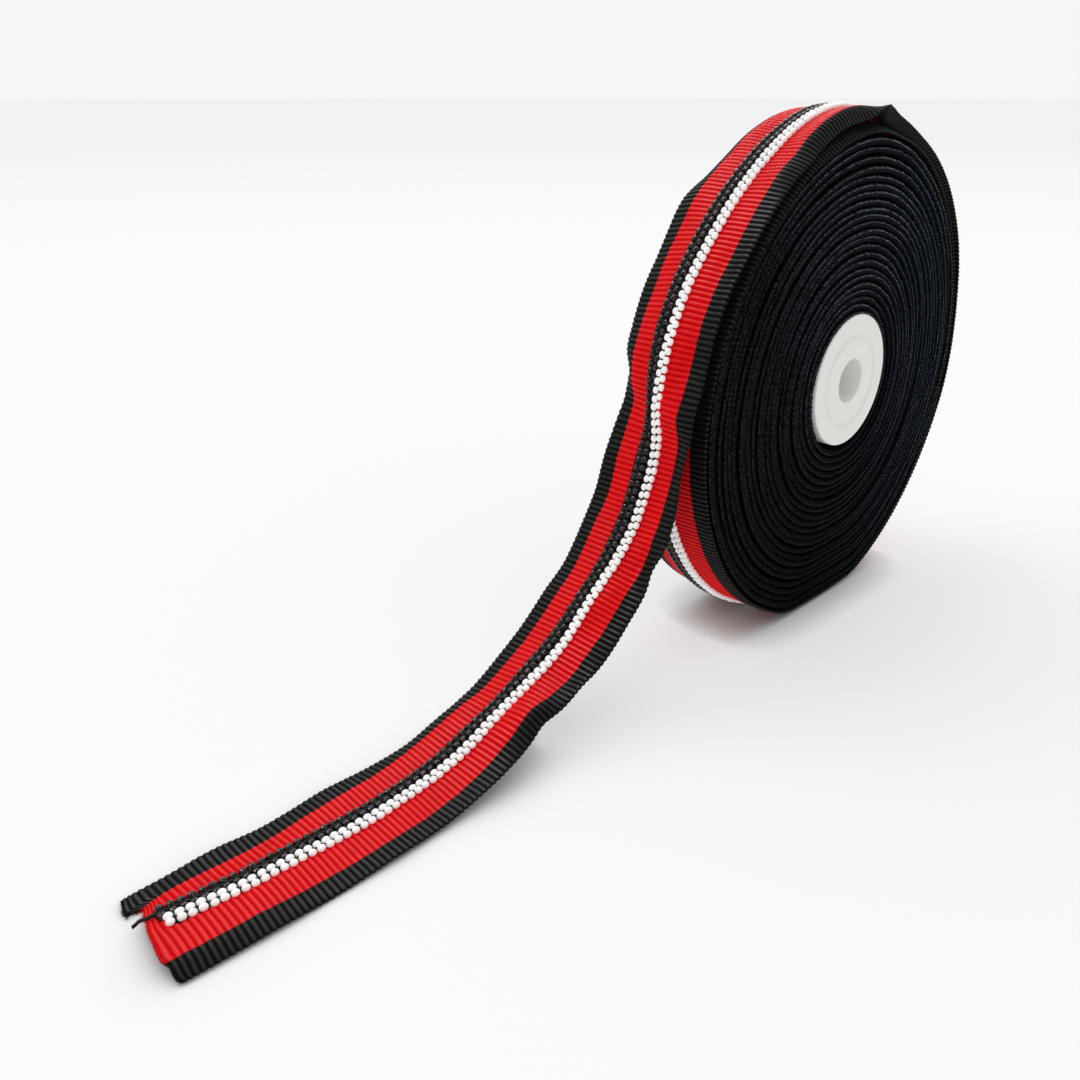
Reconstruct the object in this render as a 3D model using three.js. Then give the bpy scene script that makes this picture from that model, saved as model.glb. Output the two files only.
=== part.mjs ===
// Roll of beaded ribbon trim, standing on its edge with a loose end let out in front.
//
// Frame: millimetres, +Z up. The origin is on the surface that the roll stands on, under the
// middle of the roll's width. X runs along the roll's axis, and the loose end lies towards -Y.
// Angles round the roll start at the back (+Y) and pass over the top to the front (-Y).

import * as THREE from "three";

// ---------- driving dimensions ----------

const RIBBON_WIDTH = 25.2;
const CLOTH_THICKNESS = 1.0;
const BEAD_HEIGHT = 1.6;
const FACE_GAP = 0.3;

const ROLL_AXIS_Z = 62.3;
const NEAR_EDGE_RADIUS = 62.4;
const FAR_EDGE_RADIUS = 61.3;
const BEAD_RIDGE_RADIUS = 63.9;
const ROLL_SEGMENTS = 80;

const HUB_RADIUS = 17.3;
const HUB_HOLE_RADIUS = 5.75;
const HUB_HALF_LENGTH = 13.3;
const HUB_SEGMENTS = 40;
// The turns are wound a little unevenly, so the hub sits off the middle of the roll.
const HUB_OFFSET = { y: 1.3, z: 1.3 };

// Where the sewn bead rows lie across the ribbon, measured from its centre line.
const BLACK_ROWS = { from: -2.8, to: -0.1 };
const WHITE_ROWS = { from: 0.2, to: 2.8 };
const ROWS_FROM = BLACK_ROWS.from;
const ROWS_TO = WHITE_ROWS.to;

const STATION_SPACING = 4.0;
const TURN_STEPS = 4;

// The loose turn round the top of the roll: angle in degrees, radius of the cloth's middle,
// and how far its two edges curl outwards (negative is in towards the roll).
const LOOSE_TURN = [
  { angle: -12, radius: 64.9, farCurl: -2.2, nearCurl: -1.4 },
  { angle: 15, radius: 64.9, farCurl: -2.2, nearCurl: -1.4 },
  { angle: 36, radius: 65.3, farCurl: -1.9, nearCurl: -0.2 },
  { angle: 58, radius: 65.4, farCurl: -1.5, nearCurl: 0.2 },
  { angle: 73, radius: 65.7, farCurl: -1.0, nearCurl: 0.5 },
  { angle: 85, radius: 66.5, farCurl: -1.2, nearCurl: 0.9 },
  { angle: 94, radius: 66.7, farCurl: -1.6, nearCurl: -1.4 },
  { angle: 105, radius: 65.7, farCurl: -2.0, nearCurl: -1.8 },
  { angle: 118, radius: 64.9, farCurl: -2.2, nearCurl: -1.3 },
  { angle: 133, radius: 64.9, farCurl: -1.0, nearCurl: -0.7 },
  { angle: 146, radius: 64.9, farCurl: -2.6, nearCurl: -0.6 },
  { angle: 158, radius: 65.5, farCurl: -3.0, nearCurl: -0.4 },
  { angle: 168, radius: 65.8, farCurl: -3.0, nearCurl: -0.6 },
];

// The loose end from where it leaves the roll down to its cut end: the place of the cloth's
// middle, its sideways drift, and the curl of its edges off its own face.
const LOOSE_END = [
  { y: -65.3, z: 66.0, drift: -0.1, farCurl: -2.6, nearCurl: 1.6 },
  { y: -65.6, z: 59.0, drift: -0.3, farCurl: -1.4, nearCurl: 1.1 },
  { y: -67.4, z: 51.5, drift: -0.5, farCurl: -0.4, nearCurl: 0.7 },
  { y: -71.2, z: 42.3, drift: -0.7, farCurl: -0.4, nearCurl: 0.4 },
  { y: -77.0, z: 34.2, drift: -0.9, farCurl: -0.8, nearCurl: 0.2 },
  { y: -85.9, z: 26.4, drift: -1.0, farCurl: -1.4, nearCurl: -2.0 },
  { y: -94.7, z: 19.0, drift: -1.0, farCurl: -1.4, nearCurl: -1.8 },
  { y: -105.0, z: 13.6, drift: -1.0, farCurl: -2.2, nearCurl: -1.0 },
  { y: -117.0, z: 8.4, drift: -1.0, farCurl: -2.2, nearCurl: -1.2 },
  { y: -130.0, z: 3.8, drift: -0.8, farCurl: -1.1, nearCurl: -0.7 },
  { y: -144.2, z: 1.9, drift: -0.6, farCurl: 0, nearCurl: -0.8 },
  { y: -160.0, z: 1.6, drift: -0.7, farCurl: -0.1, nearCurl: -0.9 },
  { y: -178.0, z: 1.9, drift: -1.2, farCurl: 0, nearCurl: -1.0 },
  { y: -195.0, z: 2.6, drift: -2.0, farCurl: -1.6, nearCurl: -2.0 },
];

// Short waves in the ribbon's edges: distance along the loose cloth from its start, the wave's
// half length, and its height on each side (positive stands off the face with the beads).
const EDGE_WAVES = [
  { at: 211, half: 8, far: 0, near: 0.8 },
  { at: 291, half: 8, far: -0.3, near: 1.2 },
];

// ---------- materials ----------

const blackCloth = new THREE.MeshStandardMaterial({ color: 0x101214, roughness: 0.85, metalness: 0 });
const redCloth = new THREE.MeshStandardMaterial({ color: 0xd01020, roughness: 0.75, metalness: 0 });
const blackBeads = new THREE.MeshStandardMaterial({ color: 0x17181a, roughness: 0.25, metalness: 0 });
const whiteBeads = new THREE.MeshStandardMaterial({ color: 0xf4f2f0, roughness: 0.25, metalness: 0 });
const whitePlastic = new THREE.MeshStandardMaterial({ color: 0xe6e6e2, roughness: 0.5, metalness: 0 });

// ---------- helpers ----------

function named(name, geometry, material) {
  const mesh = new THREE.Mesh(geometry, material);
  mesh.name = name;
  return mesh;
}

// A closed profile of radius and place along X, turned round the roll's axis.
function turnedRing(profile, segments) {
  const points = profile.map(({ radius, x }) => new THREE.Vector2(radius, x)).reverse();
  points.push(points[0].clone());
  const geometry = new THREE.LatheGeometry(points, segments);
  geometry.rotateZ(-Math.PI / 2);
  geometry.translate(0, 0, ROLL_AXIS_Z);
  return geometry;
}

// Moves each turn of the wound body sideways by its share of the hub's offset, and presses
// whatever lies below the standing surface up to it.
function settle(geometry) {
  const position = geometry.attributes.position;
  for (let i = 0; i < position.count; i += 1) {
    const radius = Math.hypot(position.getY(i), position.getZ(i) - ROLL_AXIS_Z);
    const share = THREE.MathUtils.mapLinear(radius, HUB_RADIUS + FACE_GAP, BEAD_RIDGE_RADIUS, 1, 0);
    position.setY(i, position.getY(i) + share * HUB_OFFSET.y);
    position.setZ(i, Math.max(0, position.getZ(i) + share * HUB_OFFSET.z));
  }
  return geometry;
}

// Skins a row of like closed sections into one solid with two end caps.
function skin(sections) {
  const size = sections[0].length;
  const positions = sections.flat().flatMap((point) => [point.x, point.y, point.z]);
  const faces = [];
  for (let row = 0; row + 1 < sections.length; row += 1) {
    for (let i = 0; i < size; i += 1) {
      const a = row * size + i;
      const b = row * size + ((i + 1) % size);
      faces.push(a, b, b + size, a, b + size, a + size);
    }
  }
  const last = (sections.length - 1) * size;
  for (let i = 0; i + 1 < size / 2; i += 1) {
    const j = size - 1 - i;
    faces.push(i, j, j - 1, i, j - 1, i + 1);
    faces.push(last + i, last + j - 1, last + j, last + i, last + i + 1, last + j - 1);
  }
  const geometry = new THREE.BufferGeometry();
  geometry.setAttribute("position", new THREE.Float32BufferAttribute(positions, 3));
  geometry.setIndex(faces);
  geometry.computeVertexNormals();
  return geometry;
}

// ---------- the loose cloth's path ----------

// One named column of a table at a place between its rows, smoothly from row to row.
function columnAt(table, column, place) {
  const row = Math.min(table.length - 2, Math.floor(place));
  const value = (index) => table[THREE.MathUtils.clamp(index, 0, table.length - 1)][column];
  const [before, from, to, after] = [row - 1, row, row + 1, row + 2].map(value);
  const f = place - row;
  const bend = 2 * before - 5 * from + 4 * to - after;
  const twist = 3 * from - 3 * to + after - before;
  return from + 0.5 * f * (to - before + f * (bend + f * twist));
}

// The loose turn is worked out by angle and radius, so that it stays round between its rows.
function looseTurnRows() {
  const found = [];
  const steps = (LOOSE_TURN.length - 1) * TURN_STEPS;
  for (let i = 0; i <= steps; i += 1) {
    const column = (name) => columnAt(LOOSE_TURN, name, i / TURN_STEPS);
    const turn = THREE.MathUtils.degToRad(column("angle"));
    found.push({
      y: column("radius") * Math.cos(turn),
      z: ROLL_AXIS_Z + column("radius") * Math.sin(turn),
      drift: 0,
      farCurl: column("farCurl"),
      nearCurl: column("nearCurl"),
    });
  }
  return found;
}

const rows = [...looseTurnRows(), ...LOOSE_END];
const path = new THREE.CatmullRomCurve3(rows.map(({ y, z, drift }) => new THREE.Vector3(drift, y, z)));
path.arcLengthDivisions = 1000;
const STATIONS = Math.round(path.getLength() / STATION_SPACING);

function wave(distance, side) {
  return EDGE_WAVES.reduce((sum, row) => {
    const away = Math.min(1, Math.abs(distance - row.at) / row.half);
    return sum + row[side] * 0.5 * (1 + Math.cos(Math.PI * away));
  }, 0);
}

// How far the cloth stands off its flat section, at a place across the ribbon.
function curlAt(share, distance, across) {
  const half = RIBBON_WIDTH / 2;
  const place = path.getUtoTmapping(share) * (rows.length - 1);
  if (across < ROWS_FROM) {
    const reach = (ROWS_FROM - across) / (ROWS_FROM + half);
    return (columnAt(rows, "farCurl", place) + wave(distance, "far")) * reach ** 1.5;
  }
  const reach = Math.max(0, across - ROWS_TO) / (half - ROWS_TO);
  return (columnAt(rows, "nearCurl", place) + wave(distance, "near")) * reach ** 1.5;
}

// A strip that follows the loose cloth: places across it, with its underside and top above
// the cloth's middle.
function looseStrip(places, bottom, top) {
  const sections = [];
  for (let i = 0; i <= STATIONS; i += 1) {
    const share = i / STATIONS;
    const centre = path.getPointAt(share);
    const along = path.getTangentAt(share);
    const across = new THREE.Vector3(1, 0, 0);
    const out = along.clone().cross(across).normalize();
    const distance = share * path.getLength();
    const at = (place, height) => {
      const lift = height + curlAt(share, distance, place);
      const point = centre.clone().addScaledVector(across, place).addScaledVector(out, lift);
      point.z = Math.max(point.z, height + CLOTH_THICKNESS / 2);
      return point;
    };
    const lower = places.map((place) => at(place, bottom));
    const upper = places.map((place) => at(place, top)).reverse();
    sections.push([...lower, ...upper]);
  }
  return skin(sections);
}

// ---------- sub-parts ----------

// The turns wound on the hub, as one body: the sewn bead rows keep the turns apart in the
// middle and stand up as a ridge, and the far edge sags in towards the hub.
function windingGeometry() {
  const half = RIBBON_WIDTH / 2;
  const cloth = NEAR_EDGE_RADIUS + 0.1;
  const inner = HUB_RADIUS + FACE_GAP;
  return settle(turnedRing([
    { radius: inner, x: half - 0.4 },
    { radius: 30, x: half - 0.1 },
    { radius: 46, x: half - 0.5 },
    { radius: NEAR_EDGE_RADIUS, x: half - 0.1 },
    { radius: cloth, x: ROWS_TO + 0.3 },
    { radius: BEAD_RIDGE_RADIUS, x: ROWS_TO },
    { radius: BEAD_RIDGE_RADIUS, x: ROWS_FROM },
    { radius: cloth, x: ROWS_FROM - 0.3 },
    { radius: FAR_EDGE_RADIUS, x: 0.3 - half },
    { radius: 46, x: 0.2 - half },
    { radius: 30, x: 0.6 - half },
    { radius: inner, x: 0.3 - half },
  ], ROLL_SEGMENTS));
}

// The moulded core: a plain drum with a shallow ring pressed into each face and a spindle
// hole right through.
function hubGeometry() {
  const ring = { inner: 11.4, outer: 12.4, depth: 0.4 };
  const edge = 0.6;
  const half = HUB_HALF_LENGTH;
  const face = [
    { radius: HUB_HOLE_RADIUS, x: half - edge / 2 },
    { radius: HUB_HOLE_RADIUS + edge / 2, x: half },
    { radius: ring.inner, x: half },
    { radius: ring.inner + ring.depth, x: half - ring.depth },
    { radius: ring.outer, x: half - ring.depth },
    { radius: ring.outer + ring.depth, x: half },
    { radius: HUB_RADIUS - edge, x: half },
    { radius: HUB_RADIUS, x: half - edge },
  ];
  const back = face.map(({ radius, x }) => ({ radius, x: -x })).reverse();
  return turnedRing([...face, ...back], HUB_SEGMENTS).translate(0, HUB_OFFSET.y, HUB_OFFSET.z);
}

function ribbonGeometry() {
  const half = RIBBON_WIDTH / 2;
  const places = [-half, -8.5, -5.6, ROWS_FROM, ROWS_TO, 5.6, 8.5, half];
  return looseStrip(places, -CLOTH_THICKNESS / 2, CLOTH_THICKNESS / 2);
}

function beadRowsGeometry(rowsAcross) {
  const bottom = CLOTH_THICKNESS / 2 + FACE_GAP;
  return looseStrip([rowsAcross.from, rowsAcross.to], bottom, bottom + BEAD_HEIGHT - FACE_GAP);
}

// ---------- the roll ----------

const roll = new THREE.Group();
roll.add(
  named("wound_ribbon", windingGeometry(), blackCloth),
  named("hub", hubGeometry(), whitePlastic),
  named("loose_ribbon", ribbonGeometry(), redCloth),
  named("black_bead_rows", beadRowsGeometry(BLACK_ROWS), blackBeads),
  named("white_bead_rows", beadRowsGeometry(WHITE_ROWS), whiteBeads),
);

export default roll;
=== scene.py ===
"""Striped ribbed ribbon with two double rows of sewn beads, wound on a moulded hub.

The ribbon is one long strip: wound turns, an outer turn that shows its stripes, a loose turn
over the top, and a loose end that runs down to the floor and along it to the cut.
Lengths in the tables are millimetres and angles are degrees. Angles round the roll start at
the back (+Y) and pass over the top to the front (-Y); the ribbon's places across it run from
its far edge (-X) to its near edge (+X).
"""

import math

import bpy
import numpy as np
from bpy.props import FloatProperty, FloatVectorProperty, IntProperty, PointerProperty
from bpy.types import Operator, Panel, PropertyGroup
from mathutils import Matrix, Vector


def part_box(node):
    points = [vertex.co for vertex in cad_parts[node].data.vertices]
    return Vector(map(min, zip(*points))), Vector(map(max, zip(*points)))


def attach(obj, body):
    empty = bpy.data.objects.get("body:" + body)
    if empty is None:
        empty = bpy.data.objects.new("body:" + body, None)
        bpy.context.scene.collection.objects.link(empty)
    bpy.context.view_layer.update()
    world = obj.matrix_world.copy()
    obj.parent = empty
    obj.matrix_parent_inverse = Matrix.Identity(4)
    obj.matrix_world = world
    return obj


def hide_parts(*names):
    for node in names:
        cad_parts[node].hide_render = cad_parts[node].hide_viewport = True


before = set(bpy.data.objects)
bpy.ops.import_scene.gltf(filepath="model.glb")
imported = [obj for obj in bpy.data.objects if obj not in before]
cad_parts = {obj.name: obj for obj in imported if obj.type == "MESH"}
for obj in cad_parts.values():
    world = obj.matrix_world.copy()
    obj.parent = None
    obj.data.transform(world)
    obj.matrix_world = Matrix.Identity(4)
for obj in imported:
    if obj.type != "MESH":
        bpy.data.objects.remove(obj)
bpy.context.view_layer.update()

bl_info = {
    "name": "Roll of Beaded Ribbon Trim",
    "version": (1, 0, 0),
    "blender": (4, 5, 0),
    "location": "View3D > Sidebar > Ribbon Roll",
    "description": "Builds a striped ribbon with sewn bead rows, wound on its hub with a loose end",
    "category": "Add Mesh",
}

MM = 0.001
HUB_LOW, HUB_HIGH = (np.array(corner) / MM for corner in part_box("hub"))
HUB_MIDDLE = (HUB_LOW + HUB_HIGH) / 2
HUB_RADIUS = (HUB_HIGH[1] - HUB_LOW[1]) / 2
HUB_SINK = 0.4  # how far each face of the hub lies below the solid it replaces
# How the hub's edges are rounded: width, steps and the least angle in degrees. Faces that meet
# at less than SMOOTH_ANGLE are shaded smooth.
ROUNDING, ROUNDING_STEPS, ROUNDING_ANGLE = 0.32, 3, 20
SMOOTH_ANGLE = 40

# ---------- the ribbon's own layout ----------

HALF_WIDTH = 12.6
FAR_RED, FAR_BEADS, NEAR_BEADS, NEAR_RED = -8.45, -2.75, 2.75, 8.45
PLACE_STEP = 0.3
PLACES = np.round(np.arange(-HALF_WIDTH, HALF_WIDTH + PLACE_STEP / 2, PLACE_STEP), 3)
STEEPEST = 0.85  # limit on the slope of the cloth's section
# Rows of points to a rib in the wound turns and in the cloth outside, and how many columns the
# outer turn and the loose cloth have, which lie this much closer together towards the edges.
WOUND_STEPS, LAID_STEPS = 2, 4
OUTER_COLUMNS, LOOSE_COLUMNS = 22, 30
CROWDING = 0.45

# ---------- the ribbon's path ----------

ROLL_AXIS_Z = 62.3
RIDGE_RADIUS = 63.9
TURN_PITCH = 1.87
TIGHT_RADIUS = 62.9
LOOSE_START = -12.0
OUTER_START = LOOSE_START - 360.0
FIRST_RADIUS = 17.95
# Height of the lowest turn's middle, and how much closer together the turns lie where they are
# pressed flat. FLOOR_BLEND softens the bend into the flat, which reaches up to FLOOR_REACH.
FLOOR_LIFT = 1.95
TURN_SQUEEZE = 0.14
FLOOR_BLEND = 0.6
FLOOR_DIP = 0.05
FLOOR_REACH = 6
# The edges of the inner turns: how far each hangs in at the axis' height and how that changes
# upwards, then the size, spacing and seed of its unevenness.
NEAR_HANG = (-0.45, -0.75)
FAR_HANG = (-0.6, -0.5)
EDGE_WANDERS = ((0.34, 34, 11), (0.12, 9, 31))
# The share of its edge's hang that each of SHAPE_PLACES takes: three far ones and four near ones.
HANG_SHARES = (1, 0.42, 0, 0, 0.12, 0.42, 1)
# The outer of these turns bulge to the near side about this angle.
BULGE, BULGE_ANGLE, BULGE_SPREAD, BULGE_DEPTH = 1.5, 82, 26, 13
TURN_DRIFT = (0.38, 47, 5)
SETTLE_LENGTH = 40
DIRECTION_REACH = 0.4  # how far ahead and behind the cloth's direction is taken from
# The inner turns are two pieces, which meet at this share of their length.
WINDING_SPLIT = 0.46
WINDING_PLACES = (-12.0, -11.1, -5.0, 5.0, 11.1, 12.0)

# The outer turn and the loose turn that follows it: angle and radius of the cloth's middle.
TURN_ROWS = (
    (-372, 61.03), (-330, 61.25), (-300, 61.40), (-280, 62.20), (-265, 63.40), (-250, 63.10),
    (-235, 62.20), (-215, 61.85), (-170, 62.10), (-110, 62.40), (-70, 62.60), (-50, 62.75),
    (-35, 63.20), (-22, 64.00), (-12, 64.80), (15, 64.8), (30, 65.2), (45, 65.4),
    (65, 65.4), (80, 66.1), (90, 66.8), (100, 66.3), (110, 65.2), (118, 64.5),
    (134, 64.1), (142, 64.3), (152, 65.3), (163, 65.9), (171, 65.6),
)

# The loose end: place of the cloth's middle in Y and Z, and its sideways drift.
END_ROWS = (
    (-65.0, 60.7, -0.2), (-67.4, 51.5, -0.5), (-71.2, 42.3, -0.7), (-77.0, 34.2, -0.9),
    (-85.9, 26.4, -1.0), (-94.7, 19.0, -1.0), (-105.0, 13.6, -1.0), (-117.0, 8.4, -1.0),
    (-130.0, 3.8, -0.8), (-144.2, 1.9, -0.6), (-160.0, 1.6, -0.7), (-178.0, 1.9, -1.2),
    (-195.0, 2.6, -2.0),
)

# The section's shape along the outer turn (below zero) and the loose cloth: distance from the
# start of the loose turn, then tenths of a millimetre that the cloth stands off its middle at
# SHAPE_PLACES.
SHAPE_PLACES = (-HALF_WIDTH, FAR_RED, FAR_BEADS, NEAR_BEADS, 5.6, NEAR_RED, HALF_WIDTH)
SHAPE_ROWS = (
    (-389, -9, -4, 0, 0, -1, -3, -6),
    (-350, -11, -4, 0, 0, -1, -4, -6),
    (-331, -11, -4, 0, 0, -1, -4, -4),
    (-320, -12, -5, 0, 0, -1, -3, -1),
    (-308, -12, -5, 0, 0, 0, 2, 0),
    (-294, -13, -5, 0, 0, 2, 8, -6),
    (-284, -14, -6, 0, 0, 1, 5, -10),
    (-274, -14, -6, 0, 0, -1, -2, -22),
    (-262, -14, -6, 0, 0, -2, -7, -32),
    (-250, -14, -6, 0, 0, -2, -5, -24),
    (-220, -14, -6, 0, 0, -3, -8, -18),
    (-188, -23, -10, 0, 0, -1, -3, -6),
    (-120, -10, -4, 0, 0, 0, 0, 0),
    (-85, 6, 2, 0, 0, 3, 7, 12),
    (-60, -6, -2, 0, 0, 0, 0, 1),
    (-30, -12, -5, 0, 0, -1, -3, -8),
    (0, -22, -9, 0, 0, -3, -8, -14),
    (30, -22, -9, 0, 0, -4, -10, -14),
    (55, -19, -8, 0, 0, -7, -16, -2),
    (80, -15, -6, 0, 0, -9, -20, 2),
    (95, -10, -4, 0, 0, -12, -26, 6),
    (103, -11, -3, 0, 0, -13, -27, 10),
    (108, -12, -3, 0, 0, -8, -18, 16),
    (113, -14, -3, 0, 0, -1, 0, 9),
    (118, -16, -2, 0, 0, 1, 5, -13),
    (130, -19, 0, 0, 0, 4, 10, -19),
    (142, -22, 3, 0, 0, 3, 8, -14),
    (148, -23, -1, 1, -1, 0, 1, -13),
    (154, -20, 1, 1, -1, 1, 4, -9),
    (163, -7, 3, 1, -1, -1, -3, -7),
    (172, -18, -7, 1, -1, -2, -6, -6),
    (178, -25, -11, 0, 0, -3, -10, -6),
    (187, -29, -18, -2, 2, 0, -6, -3),
    (196, -33, -17, -3, 2, -1, -8, -4),
    (202, -33, -14, -4, 5, 0, -11, -8),
    (208, -46, -18, -8, 8, 6, 3, 2),
    (214, -41, -28, -12, 12, 17, 21, 19),
    (220, -18, -12, -4, 4, 8, 11, 26),
    (226, -4, -2, 3, -3, 1, 4, 26),
    (236, -4, -5, 2, -2, 0, 2, 13),
    (244, -3, 3, 2, -2, -2, -2, 4),
    (250, -8, -1, 0, 0, -8, -15, 2),
    (256, -16, -10, -3, 3, -3, -13, -16),
    (265, -13, -8, -2, 2, -7, -16, -23),
    (274, -14, -8, 0, 0, -4, -8, -17),
    (280, -18, -11, 1, -1, -6, -12, -8),
    (286, -24, -14, -2, 3, 4, 0, -9),
    (292, -28, -15, -5, 5, 13, 16, -9),
    (298, -23, -5, -4, 4, 7, 4, -14),
    (304, -16, 2, 0, 0, -1, -4, -10),
    (313, -11, 6, 0, 0, -3, -8, -7),
    (322, -4, 4, -1, 1, -4, -10, -10),
    (334, 6, 7, 0, 0, -2, -5, -5),
    (340, 0, 2, 0, 0, -3, -7, -8),
    (348, -5, -6, -2, 3, -1, -6, -11),
    (358, 0, -7, -3, 3, 3, 0, -10),
    (368, -11, -9, -3, 4, 3, 0, -15),
    (377, -16, -22, -4, 3, 3, -1, -20),
)

SHAPE_AT = np.array(SHAPE_ROWS, float)[:, 0]
SHAPE = np.array(SHAPE_ROWS, float)[:, 1:].T / 10

# The cut end: place across the ribbon, and how far the cut is recessed there.
CUT_ROWS = (
    (-12.6, 1.2), (-10.5, 0.5), (-8.7, 0.2), (-8.4, 3.2), (-7.5, 3.0), (-6.5, 2.6),
    (-5.5, 2.1), (-3.5, 1.9), (-2.8, 1.6), (-1.4, 1.2), (0.0, 0.6), (2.8, 0.1),
    (5.6, -0.4), (8.1, -0.6), (8.7, 0.2), (10.8, 0.1), (12.0, 0.3), (12.6, 0.9),
)
CUT_PLACES, CUT_BACK = zip(*CUT_ROWS, strict=True)
# The least length over which the cloth gives way to the recess, and how much it grows with it.
CUT_REACH, CUT_REACH_GROWTH = 2.0, 1.3

# ---------- the weave's edges ----------

# How far the ribs lean and bow along the cloth: size, spacing and seed.
RIB_LEAN = (0.30, 31, 71)
RIB_BOW = (0.22, 43, 72)
# How unlike the rib ends are, how far they stand out of the edge, and how evenly the edge
# swells: in the wound turns, which are pressed together, and in the cloth that lies free.
PRESSED_EDGE = (0.9, 0.4, 0.7)
FREE_EDGE = (0.2, 1.0, 0.0)
RIB_END_SEED, RIB_END_MEAN = 91, 0.45
EDGE_SHARE = 0.72  # thickness of the cloth at its edge, as a share of the full thickness
EDGE_ROUNDING = 2.5
FLOOR_GAP = 0.02

# ---------- the sewn beads ----------

# Each pair of rows: its middle, its height over the cloth's middle, the gap to the cut, its
# start as a share of the spacing and how much wider it is than PAIR_REACH says.
WHITE_PAIR = {"middle": 1.34, "height": 0.78, "gap": 3.6, "phase": 0.0, "wide": 1.0, "seed": 101}
BLACK_PAIR = {"middle": -1.85, "height": 0.58, "gap": 2.6, "phase": 0.45, "wide": 1.2, "seed": 202}
# Two rows of a pair lie closer together where their beads alternate: how far the near row lags
# behind the far one, in bead spacings along the loose cloth, and a bead's reach over the gap.
STAGGER = (
    (0, 100, 150, 200, 211, 222, 235, 255, 290, 320, 350, 375),
    (0.50, 0.50, 0.50, 0.50, 0.35, 0.15, 0.20, 0.50, 0.40, 0.25, 0.00, -0.15),
)
PAIR_REACH = ((0, 170, 205, 250, 330, 377), (1.68, 1.65, 1.46, 1.44, 1.37, 1.31))
# Over this stretch the near row comes to lie this much lower than the far one.
NEAR_ROW_DROP = 0.25
DROP_STRETCH = (300, 377)
# Single beads begin at this share of the outer turn, out of sight. Between the turns they are
# a band from one height to another.
SINGLE_BEADS_FROM = 0.44
PACKED_BAND = (0.30, 1.35)
PACKED_STEP = 5.0
# A bead's sides and rings, and how much its thread holes are sunk in.
BEAD_SIDES, BEAD_RINGS, HOLE_SINK = 10, 7, 0.78
# How far beads stray along a row, in height and across it, their sizes and their stretch.
STRAY_ALONG, STRAY_UP, STRAY_ACROSS = 0.07, 0.05, 0.06
BEAD_SIZES = (0.97, 1.03)
BEAD_STRETCH = 1.2
# The rows swerve sideways at the cut end.
SWERVE = ((0, 345, 366, 377), (0, 0, -0.4, -1.2))
# The sewing cords: place across, height, radius and how far each stops from the cut. One hangs
# past the cut and droops.
CORDS = (
    (WHITE_PAIR["middle"], 0.62, 0.28, WHITE_PAIR["gap"]),
    (0.0, 0.40, 0.26, BLACK_PAIR["gap"]),
    (BLACK_PAIR["middle"], 0.62, 0.32, BLACK_PAIR["gap"] - 3.4),
    (-2.9, 0.36, 0.18, BLACK_PAIR["gap"]),
)
CORD_SIDES = 6
CORD_LEAVES_AT = 0.6
CORD_DROOP = 0.35
CORD_WAVE = 0.06

# ---------- the frayed end ----------

# How many fibres there are, out to what place across, from what heights, and their measures.
FIBRES, FIBRES_OUT_TO, FRAY_SEED = 260, 12.4, 77
FIBRE_HEIGHTS = (-0.2, 0.22)
FIBRE_RINGS, FIBRE_SIDES, FIBRE_TAPER = 4, 4, 0.6
FIBRE_LENGTHS = (0.4, 0.85)
FIBRE_RADII = (0.09, 0.16)
FIBRE_AIMS = (0.35, 0.1, 0.22)
FIBRE_BENDS = (0.5, 0.15, 0.3)

# ---------- the stage ----------

FLOOR_SIZE = 40
CAMERA_PLACE = (0.1349, -0.2382, 0.1329)
CAMERA_TILT, CAMERA_TURN = 0.422, 0.779
# Each sun: name, setting, spread, tilt and turn, and whether only gloss shows it.
SUNS = (
    ("KeyLight", "key", 40, 35, 200, False),
    ("GlintLight", "glint", 15, 28, 215, True),
    ("BackLight", "back", 35, 50, 135, True),
)
# Brightness of the surroundings from straight below to straight overhead.
SKY = ((0.0, 0.46), (0.1, 0.46), (0.25, 0.68), (0.5, 0.47), (0.8, 0.42), (1.0, 1.0))
SKY_LEAN = 0.2  # how much brighter the surroundings are towards the back


# ---------- curves and noise ----------


def column_at(place):
    """The column of PLACES nearest to a place across the ribbon."""
    return int(np.argmin(abs(PLACES - place)))


def smooth_rows(keys, rows, at):
    """Values between the columns of a table, each row on a curve that passes through them all."""
    keys, rows, at = (np.asarray(v, float) for v in (keys, rows, at))
    step = np.diff(keys)
    rise = np.diff(rows, axis=1) / step
    slope = np.empty_like(rows)
    slope[:, 1:-1] = (rise[:, 1:] * step[:-1] + rise[:, :-1] * step[1:]) / (step[1:] + step[:-1])
    slope[:, 0], slope[:, -1] = rise[:, 0], rise[:, -1]
    i = np.clip(np.searchsorted(keys, at, side="right") - 1, 0, len(step) - 1)
    t = np.clip((at - keys[i]) / step[i], 0, 1)
    left = rows[:, i] + t * step[i] * slope[:, i]
    bend = 3 * (rows[:, i + 1] - rows[:, i]) - step[i] * (2 * slope[:, i] + slope[:, i + 1])
    twist = 2 * (rows[:, i] - rows[:, i + 1]) + step[i] * (slope[:, i] + slope[:, i + 1])
    return left + t * t * bend + t * t * t * twist


def smooth(keys, values, at):
    """Like smooth_rows, for a table with one row."""
    return smooth_rows(keys, [values], at)[0]


def ease(at, start, end):
    """0 before start, 1 after end, and a soft step between them."""
    t = np.clip((np.asarray(at, float) - start) / (end - start), 0, 1)
    return t * t * (3 - 2 * t)


def drifting(at, size, spacing, seed):
    """Smooth noise of a size along a length, with a fresh value every spacing."""
    at = np.asarray(at, float) / spacing
    low = math.floor(at.min()) - 1
    high = math.ceil(at.max()) + 2
    values = np.random.default_rng(seed).uniform(-1, 1, high - low)
    return size * smooth(np.arange(low, high), values, at)


# ---------- the ribbon's path ----------


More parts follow.
